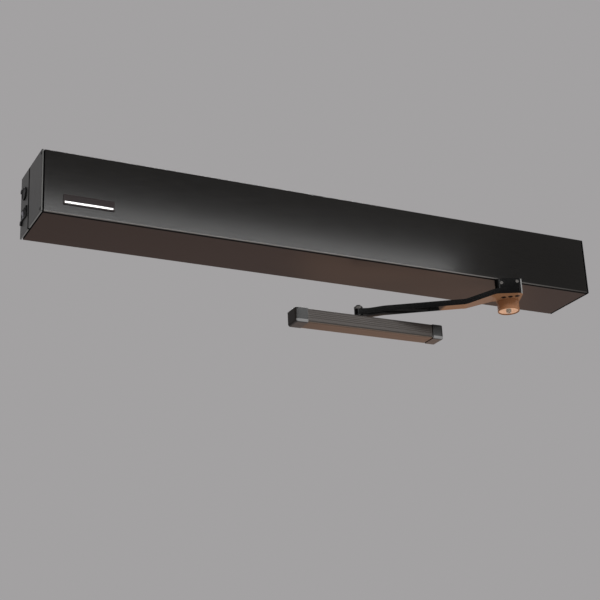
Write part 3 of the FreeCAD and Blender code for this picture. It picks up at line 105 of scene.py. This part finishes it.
class Finish:
    """One node material. Patterns are laid out in object coordinates, in metres."""

    def __init__(self, name):
        self.material = bpy.data.materials.new(name)
        self.material.use_nodes = True
        self.tree = self.material.node_tree
        self.shader = self.tree.nodes["Principled BSDF"]
        coordinates = self.tree.nodes.new("ShaderNodeTexCoord")
        self.place = coordinates.outputs["Object"]
        self.height = None

    def node(self, kind, **settings):
        made = self.tree.nodes.new(kind)
        for key, value in settings.items():
            setattr(made, key, value)
        return made

    def link(self, source, target):
        self.tree.links.new(source, target)

    def set(self, **values):
        for key, value in values.items():
            self.shader.inputs[key.replace("_", " ")].default_value = value
        return self

    def stretched(self, scale):
        """Object coordinates scaled per axis."""
        mapping = self.node("ShaderNodeMapping")
        mapping.inputs["Scale"].default_value = scale
        self.link(self.place, mapping.inputs["Vector"])
        return mapping.outputs["Vector"]

    def noise(self, scale, detail=3.0, rough=0.5, axes=(1, 1, 1)):
        texture = self.node("ShaderNodeTexNoise")
        texture.inputs["Scale"].default_value = scale
        texture.inputs["Detail"].default_value = detail
        texture.inputs["Roughness"].default_value = rough
        self.link(self.stretched(axes), texture.inputs["Vector"])
        return texture.outputs["Fac"]

    def remap(self, value, low, high, to_low=0.0, to_high=1.0):
        """value, from low..high, to to_low..to_high."""
        made = self.node("ShaderNodeMapRange", clamp=True)
        names = ("From Min", "From Max", "To Min", "To Max")
        for name, number in zip(names, (low, high, to_low, to_high)):
            made.inputs[name].default_value = number
        self.link(value, made.inputs["Value"])
        return made.outputs["Result"]

    def math(self, operation, a, b=None):
        made = self.node("ShaderNodeMath", operation=operation)
        for socket, value in zip(made.inputs, (a, b)):
            if value is None:
                continue
            if isinstance(value, (int, float)):
                socket.default_value = value
            else:
                self.link(value, socket)
        return made.outputs[0]

    def mix(self, factor, a, b):
        """Colour a where factor is 0, colour b where it is 1."""
        made = self.node("ShaderNodeMix", data_type="RGBA")
        self.link(factor, made.inputs[0])
        for socket, value in ((made.inputs[6], a), (made.inputs[7], b)):
            if isinstance(value, tuple):
                socket.default_value = (*value, 1.0)
            else:
                self.link(value, socket)
        return made.outputs[2]

    def along(self, axis, low, high, to_low=0.0, to_high=1.0, absolute=False):
        """One object coordinate, remapped."""
        split = self.node("ShaderNodeSeparateXYZ")
        self.link(self.place, split.inputs[0])
        value = split.outputs["XYZ".index(axis)]
        if absolute:
            value = self.math("ABSOLUTE", value)
        return self.remap(value, low, high, to_low, to_high)

    def over(self, mask, colour):
        """Lays colour over the base colour where mask is 1."""
        below = self.shader.inputs["Base Color"].links[0].from_socket
        return self.colour(self.mix(mask, below, colour))

    def both(self, a, b):
        return self.math("MULTIPLY", a, b)

    def either(self, a, b):
        return self.math("MAXIMUM", a, b)

    def edges(self, radius):
        """1 along corners within radius, 0 on flat faces."""
        bevel = self.node("ShaderNodeBevel", samples=6)
        bevel.inputs["Radius"].default_value = radius
        geometry = self.node("ShaderNodeNewGeometry")
        dot = self.node("ShaderNodeVectorMath", operation="DOT_PRODUCT")
        self.link(bevel.outputs[0], dot.inputs[0])
        self.link(geometry.outputs["Normal"], dot.inputs[1])
        return self.remap(self.math("SUBTRACT", 1.0, dot.outputs["Value"]), 0.02, 0.25)

    def facing(self, axis, low, high):
        """1 where the face's normal points along axis more than high, 0 below low."""
        coordinates = self.node("ShaderNodeTexCoord")
        dot = self.node("ShaderNodeVectorMath", operation="DOT_PRODUCT")
        self.link(coordinates.outputs["Normal"], dot.inputs[0])
        dot.inputs[1].default_value = axis
        return self.remap(dot.outputs["Value"], low, high)

    def colour(self, value):
        self.link(value, self.shader.inputs["Base Color"])
        return self

    def rough(self, value):
        self.link(value, self.shader.inputs["Roughness"])
        return self

    def matte(self, mask, limit=1.0):
        """Raises the roughness to limit where mask is 1."""
        below = self.shader.inputs["Roughness"].links[0].from_socket
        return self.rough(self.math("MAXIMUM", below, self.math("MULTIPLY", mask, limit)))

    def bump(self, height, depth, strength=1.0):
        """Adds a relief of that depth in metres to the normal."""
        made = self.node("ShaderNodeBump")
        made.inputs["Distance"].default_value = depth
        made.inputs["Strength"].default_value = strength
        self.link(height, made.inputs["Height"])
        if self.height is not None:
            self.link(self.height, made.inputs["Normal"])
        self.height = made.outputs["Normal"]
        self.link(self.height, self.shader.inputs["Normal"])
        return self


def joint_named(name):
    joints = frame["record"]["behaviour"]["joints"]
    return next(joint for joint in joints if joint["name"] == name)


def scaled(colour, factor):
    return tuple(channel * factor for channel in colour)


# ==== finishes, one function per family ====

def anodised(name, colour, rough, grain_axis=(1, 60, 60), metal=0.35, specular=0.4,
             wear=(0.16, 0.15, 0.14)):
    """Extruded aluminium with a dyed anodised skin: draw lines along the length and paler worn edges."""
    f = Finish(name).set(Metallic=metal, Specular_IOR_Level=specular)
    draw = f.noise(30.0, 4.0, 0.6, grain_axis)
    cloud = f.noise(5.0, 3.0)
    speck = f.noise(900.0, 2.0)
    tint = f.mix(f.remap(cloud, 0.3, 0.7), scaled(colour, 0.86), scaled(colour, 1.14))
    tint = f.mix(f.remap(draw, 0.35, 0.75, 0.0, 0.35), tint, scaled(colour, 1.7))
    edge = f.both(f.edges(WIDE_CORNER), f.remap(cloud, 0.35, 0.65, 0.25, 0.8))
    f.colour(f.mix(edge, tint, wear))
    lines = f.remap(draw, 0.2, 0.8, rough - 0.05, rough + 0.07)
    f.rough(f.math("ADD", lines, f.remap(speck, 0.5, 0.8, 0.0, 0.04)))
    f.bump(draw, 0.00002, 0.2)
    f.bump(speck, 0.00001, 0.12)
    return f


def painted(name, colour, rough, coat=0.0, metal=0.0, specular=0.5, wear=(0.10, 0.095, 0.09)):
    """Enamel on metal: faint orange peel, dust specks and thin wear on the corners."""
    f = Finish(name)
    f.set(Metallic=metal, Coat_Weight=coat, Coat_Roughness=0.08, Specular_IOR_Level=specular)
    cloud = f.noise(9.0, 3.0)
    peel_bumps = f.noise(650.0, 1.0)
    dust = f.noise(2400.0, 2.0)
    tint = f.mix(f.remap(cloud, 0.3, 0.7), scaled(colour, 0.82), scaled(colour, 1.2))
    edge = f.both(f.edges(PAINT_CORNER), f.remap(f.noise(160.0), 0.4, 0.62, 0.1, 0.8))
    f.colour(f.mix(edge, tint, wear))
    film = f.remap(cloud, 0.2, 0.8, rough - 0.03, rough + 0.05)
    f.rough(f.math("ADD", film, f.remap(dust, 0.6, 0.8, 0.0, 0.08)))
    f.bump(peel_bumps, 0.00004, 0.25)
    return f


def bare_metal(name, colour, rough, axes=(1, 1, 1), grain=260.0, stain=(0.5, 0.45, 0.4),
               depth=0.00002):
    """Bare or plated metal: machining grain, slight stains and brighter rubbed corners."""
    f = Finish(name).set(Metallic=1.0)
    lines = f.noise(grain, 3.0, 0.6, axes)
    blotch = f.noise(45.0, 4.0, 0.55)
    tint = f.mix(f.remap(lines, 0.3, 0.7), scaled(colour, 0.88), scaled(colour, 1.06))
    tarnish = tuple(c * s for c, s in zip(colour, stain))
    tint = f.mix(f.remap(blotch, 0.52, 0.78, 0.0, 0.6), tint, tarnish)
    f.colour(f.mix(f.remap(f.edges(FINE_CORNER), 0.0, 1.0, 0.0, 0.5), tint, scaled(colour, 1.25)))
    ground = f.remap(lines, 0.25, 0.75, rough - 0.06, rough + 0.08)
    f.rough(f.math("ADD", ground, f.remap(blotch, 0.5, 0.8, 0.0, 0.15)))
    f.bump(lines, depth, 0.4)
    return f


def moulded(name, colour, rough, specular=0.5, texture=0.3, sheen=(1.6, 1.6, 1.7)):
    """Moulded plastic or rubber: fine spark-eroded texture, flow marks and lighter corners, part wear and
    part painted sheen.
    """
    f = Finish(name).set(Specular_IOR_Level=specular)
    spark = f.noise(1500.0, 2.0, 0.6)
    flow = f.noise(14.0, 2.0, 0.4, (1, 2.5, 2.5))
    tint = f.mix(f.remap(flow, 0.3, 0.7), scaled(colour, 0.88), scaled(colour, 1.12))
    # the corners take the colour times sheen: part wear, part painted sheen
    rubbed = tuple(c * s for c, s in zip(colour, sheen))
    f.colour(f.mix(f.remap(f.edges(FINE_CORNER), 0.0, 1.0, 0.0, 0.6), tint, rubbed))
    f.rough(f.remap(spark, 0.3, 0.75, rough - 0.05, rough + 0.1))
    f.bump(spark, 0.00004, texture)
    return f


def cast_bronze(name):
    """Brown lacquered casting with a grainy skin."""
    f = painted(name, (0.40, 0.178, 0.080), 0.46, specular=0.25, wear=(0.50, 0.30, 0.16))
    f.bump(f.noise(420.0, 3.0, 0.6), 0.00012, 0.5)
    return f


def arm_finish(name):
    """Gloss black enamel, with a painted highlight down the right front corner and a painted warm
    reflection in brown under the spindle's end.
    """
    f = painted(name, (0.0035, 0.0035, 0.0035), 0.12, specular=0.08, wear=(0.05, 0.048, 0.045))
    # painted highlight: a pale line down the head's right front rounded corner
    f.over(f.facing(RIGHT_FRONT, 0.93, 0.97), (0.40, 0.40, 0.39))
    flat = f.node("ShaderNodeVectorMath", operation="MULTIPLY")
    f.link(f.place, flat.inputs[0])
    flat.inputs[1].default_value = (1, 1, 0)
    from_axis = f.node("ShaderNodeVectorMath", operation="DISTANCE")
    f.link(flat.outputs[0], from_axis.inputs[0])
    spindle = joint_named("arm_swing")["pos_m"]
    from_axis.inputs[1].default_value = (spindle[0], spindle[1], 0)
    # painted reflection: the downward faces near the spindle are painted warm brown
    near = f.remap(from_axis.outputs["Value"], *UNDERSIDE_REFLECTION_REACH, 1.0, 0.0)
    return f.over(f.both(f.facing(DOWN, 0.5, 0.8), near), UNDERSIDE_REFLECTION)


def cover_finish(name):
    """Dark bronze extrusion with painted light: a pale highlight on its lower front corner, a warm brown
    reflection below, and black shade under the front edge and at the left end.
    """
    f = anodised(name, (0.0090, 0.0082, 0.0072), 0.145, metal=0.0, specular=0.22)
    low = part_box("cover")[0]
    # painted highlight: a pale line along the lower front corner, fading towards the right
    height = [low[2] + step for step in HIGHLIGHT_HEIGHT]
    strip = f.both(f.facing(FRONT, 0.55, 0.8), f.along("Z", *height, 1.0, 0.0))
    strip = f.both(strip, f.along("X", *HIGHLIGHT_FADE, 1.0, 0.25))
    f.over(strip, (0.20, 0.19, 0.18))
    # painted reflection: the undersides are painted a warm brown
    downward = f.facing(DOWN, 0.6, 0.9)
    f.over(downward, (0.030, 0.015, 0.010))
    f.matte(downward, 0.30)
    # painted shade: a black line under the front edge and black at the left end
    depth = [low[1] + step for step in UNDER_SHADE_DEPTH]
    under = f.both(downward, f.along("Y", *depth, 1.0, 0.0))
    cut = [low[0] + step for step in END_SHADE_REACH]
    ends = f.either(f.facing(LEFT, 0.7, 0.9), f.along("X", *cut, 1.0, 0.0))
    shadow = f.either(under, ends)
    return f.over(shadow, PAINTED_SHADE_BLACK).matte(shadow)


def end_plate_finish(name):
    """Grey end plates. The left one's thin rims are pale, part worn bare edge and part painted highlight;
    the front faces are painted lighter and the undersides paler still, as painted light.
    The joint between their halves, the lip behind them and the right one's rims are painted black as
    shade."""
    # the pale rims are part worn bare edge and part painted highlight
    f = anodised(name, (0.060, 0.060, 0.058), 0.36, (30, 30, 2), wear=(0.42, 0.41, 0.39))
    # painted light: the front faces are painted lighter and the undersides paler still
    f.over(f.facing(FRONT, 0.5, 0.8), (0.115, 0.115, 0.110))
    f.over(f.facing(DOWN, 0.6, 0.8), (0.29, 0.31, 0.31))
    # painted shade: the joint, the lip behind the plates and the right plate's rims are black
    joint = f.both(f.along("Y", *JOINT_FRONT), f.along("Y", *JOINT_REAR, 1.0, 0.0))
    inside = f.along("X", *PLATE_INSIDE, 1.0, 0.0, absolute=True)
    right_rim = f.math("SUBTRACT", f.along("X", *RIGHT_END), f.facing(RIGHT, 0.3, 0.8))
    shadow = f.either(f.either(joint, inside), right_rim)
    return f.over(shadow, GAP_SHADE_BLACK).matte(shadow)


def track_finish(name):
    """Brown anodised track with broad draw lines along it and a painted warm reflection on its underside.
    """
    f = anodised(name, (0.075, 0.066, 0.060), 0.34, (0.12, 13, 13))
    # painted reflection: the downward faces are painted a warm brown
    return f.over(f.facing(DOWN, 0.5, 0.8), (0.125, 0.078, 0.050))


def track_cap_finish(name):
    """Dark moulded end caps, with a painted highlight along the lower front corner and a strong painted
    sheen on their corners; the left face is darker, a painted shade.
    """
    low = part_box("track_cap_left")[0]
    # painted sheen: the corners are lightened threefold
    f = moulded(name, (0.025, 0.026, 0.026), 0.30, sheen=(3.0, 3.0, 3.0))
    # painted shade: the left face is darker and browner
    end_face = f.facing(LEFT, 0.5, 0.8)
    f.over(end_face, (0.012, 0.006, 0.004)).matte(end_face, 0.7)
    # painted highlight: a bright band along the lower front corner
    height = [low[2] + step for step in CAP_HIGHLIGHT_HEIGHT]
    corner = f.both(f.facing(FRONT, 0.5, 0.8), f.along("Z", *height, 1.0, 0.0))
    return f.over(corner, (0.34, 0.34, 0.34))


def circuit(name):
    """Solder-masked board: copper tracks under green lacquer."""
    f = Finish(name).set(Coat_Weight=0.5, Coat_Roughness=0.12)
    grid = f.node("ShaderNodeTexBrick")
    grid.inputs["Scale"].default_value = 160.0
    grid.inputs["Mortar Size"].default_value = 0.03
    f.link(f.place, grid.inputs["Vector"])
    cloud = f.noise(40.0)
    base = f.mix(f.remap(cloud, 0.3, 0.7), (0.012, 0.10, 0.03), (0.02, 0.15, 0.05))
    f.colour(f.mix(grid.outputs["Fac"], base, (0.05, 0.26, 0.09)))
    f.rough(f.remap(cloud, 0.3, 0.7, 0.3, 0.42))
    f.bump(grid.outputs["Fac"], 0.00005, 0.5)
    return f


def wound(name, colour, pitch):
    """Enamelled wire laid turn beside turn, with painted shade in the grooves between turns."""
    f = Finish(name).set(Metallic=0.85)
    turns = f.node("ShaderNodeTexWave", wave_type="BANDS", bands_direction="Z")
    turns.inputs["Scale"].default_value = 1.0 / pitch
    turns.inputs["Distortion"].default_value = 0.6
    f.link(f.place, turns.inputs["Vector"])
    blotch = f.noise(80.0)
    # painted shade: the wave bands darken the grooves between turns
    tint = f.mix(turns.outputs["Fac"], scaled(colour, 0.35), colour)
    f.colour(f.mix(f.remap(blotch, 0.5, 0.75, 0.0, 0.5), tint, scaled(colour, 0.6)))
    f.rough(f.remap(blotch, 0.3, 0.7, 0.28, 0.42))
    f.bump(turns.outputs["Fac"], 0.0003, 0.6)
    return f


FINISHES = {
    "dark_bronze": cover_finish,
    "end_plate": end_plate_finish,
    "grey_plastic": lambda n: moulded(n, (0.36, 0.36, 0.40), 0.38, sheen=(1.1, 1.1, 1.1)),
    "track_bronze": track_finish,
    "track_cap": track_cap_finish,
    "plaque": lambda n: painted(n, (0.016, 0.006, 0.006), 0.30, specular=0.18),
    "bright_trim": lambda n: bare_metal(n, (0.92, 0.92, 0.90), 0.30, (1, 40, 40)),
    "zinc_steel": lambda n: bare_metal(n, (0.58, 0.58, 0.60), 0.36, grain=120.0, stain=(0.8, 0.82, 0.9)),
    "black_screw": lambda n: painted(n, (0.022, 0.022, 0.023), 0.30, metal=0.7),
    "dim_screw": lambda n: bare_metal(n, (0.10, 0.095, 0.09), 0.40),
    "bright_screw": lambda n: bare_metal(n, (0.72, 0.71, 0.68), 0.22),
    "arm_black": arm_finish,
    "hub_bronze": cast_bronze,
    "polished_washer": lambda n: bare_metal(n, (1.0, 0.82, 0.64), 0.20),
    "ground_steel": lambda n: bare_metal(n, (0.52, 0.51, 0.50), 0.26, (1, 20, 20)),
    "bronze_bush": lambda n: bare_metal(n, (0.56, 0.36, 0.17), 0.34, (1, 1, 10)),
    "spring_steel": lambda n: bare_metal(n, (0.20, 0.20, 0.21), 0.34, grain=300.0),
    "laminated_steel": lambda n: bare_metal(n, (0.34, 0.34, 0.35), 0.42, (1, 1, 80), 40.0, depth=0.0002),
    "motor_shell": lambda n: painted(n, (0.05, 0.055, 0.06), 0.34, metal=0.5),
    "magnet": lambda n: moulded(n, (0.03, 0.03, 0.032), 0.55),
    "deep_black": lambda n: moulded(n, (0.008, 0.008, 0.009), 0.42, specular=0.2),
    "black_plastic": lambda n: moulded(n, (0.022, 0.024, 0.026), 0.36),
    "white_nylon": lambda n: moulded(n, (0.70, 0.68, 0.62), 0.42, sheen=(1.1, 1.1, 1.1)),
    "rubber": lambda n: moulded(n, (0.012, 0.012, 0.012), 0.7, texture=0.6),
    "terminal_green": lambda n: moulded(n, (0.02, 0.22, 0.08), 0.4),
    "relay_blue": lambda n: moulded(n, (0.02, 0.08, 0.32), 0.36),
    "capacitor_sleeve": lambda n: painted(n, (0.012, 0.02, 0.06), 0.22, coat=0.5),
    "circuit_green": circuit,
    "winding": lambda n: wound(n, (0.72, 0.30, 0.12), 0.006),
}


# nodes whose finish differs from the rest of their material slot
OVERRIDES = {
    "head_clamp_screws": "dim_screw",
    "arm_pin": "black_screw",
    "arm_pin_nut": "dim_screw",
    "switch_housing": "deep_black",
    "power_rocker": "deep_black",
    "knockout_plug": "deep_black",
    "end_bracket_screws": "deep_black",
    "track_cap_left": "track_cap",
    "track_cap_right": "track_cap",
}


def dress_nodes():
    """Every CAD node takes the finish of its material slot, or its own from OVERRIDES."""
    made = {}
    for node in NODES.values():
        for index, held in enumerate(node.data.materials):
            slot = OVERRIDES.get(node.name, held.name.split(".")[0])
            if slot not in made:
                made[slot] = FINISHES[slot](slot + "_finish").material
            node.data.materials[index] = made[slot]
    return made


def coil_spring(finish):
    """The closing spring's coils, as a copy of its mesh held by the header. The copy keeps its length,
    though the real coils shorten as the rack's seat is pulled towards the plug.
    """
    piece = bpy.data.objects.new("closing_spring_coils", NODES["closing_spring"].data.copy())
    bpy.context.scene.collection.objects.link(piece)
    piece.data.materials.clear()
    piece.data.materials.append(finish)
    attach(piece, "header")
    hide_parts("closing_spring")
    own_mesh(piece)


# ==== studio ====

def floor():
    """Pale floor, one large quad."""
    mesh = bpy.data.meshes.new("floor")
    shape = bmesh.new()
    signs = ((-1, -1), (1, -1), (1, 1), (-1, 1))
    shape.faces.new([shape.verts.new((x * FLOOR_HALF, y * FLOOR_HALF, FLOOR_Z)) for x, y in signs])
    shape.to_mesh(mesh)
    shape.free()
    made = bpy.data.objects.new("floor", mesh)
    bpy.context.scene.collection.objects.link(made)
    f = Finish("floor_paint")
    cloud = f.noise(0.8, 3.0)
    f.colour(f.mix(cloud, (0.60, 0.60, 0.59), (0.66, 0.66, 0.65)))
    f.rough(f.remap(cloud, 0.2, 0.8, 0.55, 0.7))
    mesh.materials.append(f.material)


def softbox(name, place, target, size, power, colour=(1.0, 1.0, 1.0)):
    """A rectangular lamp at place that faces target and isn't seen itself."""
    lamp = bpy.data.lights.new(name, "AREA")
    lamp.shape = "RECTANGLE"
    lamp.size, lamp.size_y = size
    lamp.energy = power
    lamp.color = colour
    made = bpy.data.objects.new(name, lamp)
    bpy.context.scene.collection.objects.link(made)
    made.location = place
    made.rotation_mode = "QUATERNION"
    made.rotation_quaternion = (Vector(target) - Vector(place)).to_track_quat("-Z", "Y")
    made.visible_camera = False


def studio():
    world = bpy.data.worlds.new("room")
    world.use_nodes = True
    background = world.node_tree.nodes["Background"]
    background.inputs["Color"].default_value = (*ROOM_GREY, 1.0)
    background.inputs["Strength"].default_value = 1.0
    bpy.context.scene.world = world
    bpy.context.scene.view_settings.view_transform = "Standard"
    # each lamp: name, place, what it faces, its size in metres, power in watts, colour if not white
    softbox("front_band", (0.00, -0.81, 0.268), (0.00, 0, -0.02), (1.36, 0.066), 2.5)
    softbox("below_front", (0.35, -0.45, -1.05), (0.0, -0.11, -0.05), (1.6, 0.25), 4.0)
    softbox("track_band", (0.60, -0.81, 0.17), (0.10, 0, -0.13), (0.34, 0.06), 0.2)
    softbox("right_strip", (1.10, -0.45, 0.28), (0.33, -0.10, -0.06), (0.10, 0.5), 0.6)
    softbox("warm_behind", (0.75, 1.35, -0.85), (0.1, -0.05, -0.05), (2.4, 1.0), 1.0, (1.0, 0.42, 0.24))
    softbox("warm_near_arm", (0.50, 0.45, -0.36), (0.28, -0.08, -0.08), (0.5, 0.25), 0.12,
            (1.0, 0.55, 0.30))
    softbox("back_fill", (0.6, 2.4, 1.6), (0, 0, 0), (2.0, 1.2), 40.0)


def camera():
    data = bpy.data.cameras.new("camera")
    data.lens = CAMERA_LENS
    made = bpy.data.objects.new("camera", data)
    bpy.context.scene.collection.objects.link(made)
    level = math.cos(CAMERA_RISE)
    forward = Vector((-math.sin(CAMERA_YAW) * level, math.cos(CAMERA_YAW) * level, math.sin(CAMERA_RISE)))
    turn = forward.to_track_quat("-Z", "Y") @ Quaternion((0, 0, 1), CAMERA_ROLL)
    made.matrix_world = Matrix.Translation(CAMERA_PLACE) @ turn.to_matrix().to_4x4()
    bpy.context.scene.camera = made


camera()
floor()
studio()
finishes = dress_nodes()
coil_spring(finishes["spring_steel"])
bpy.context.view_layer.update()
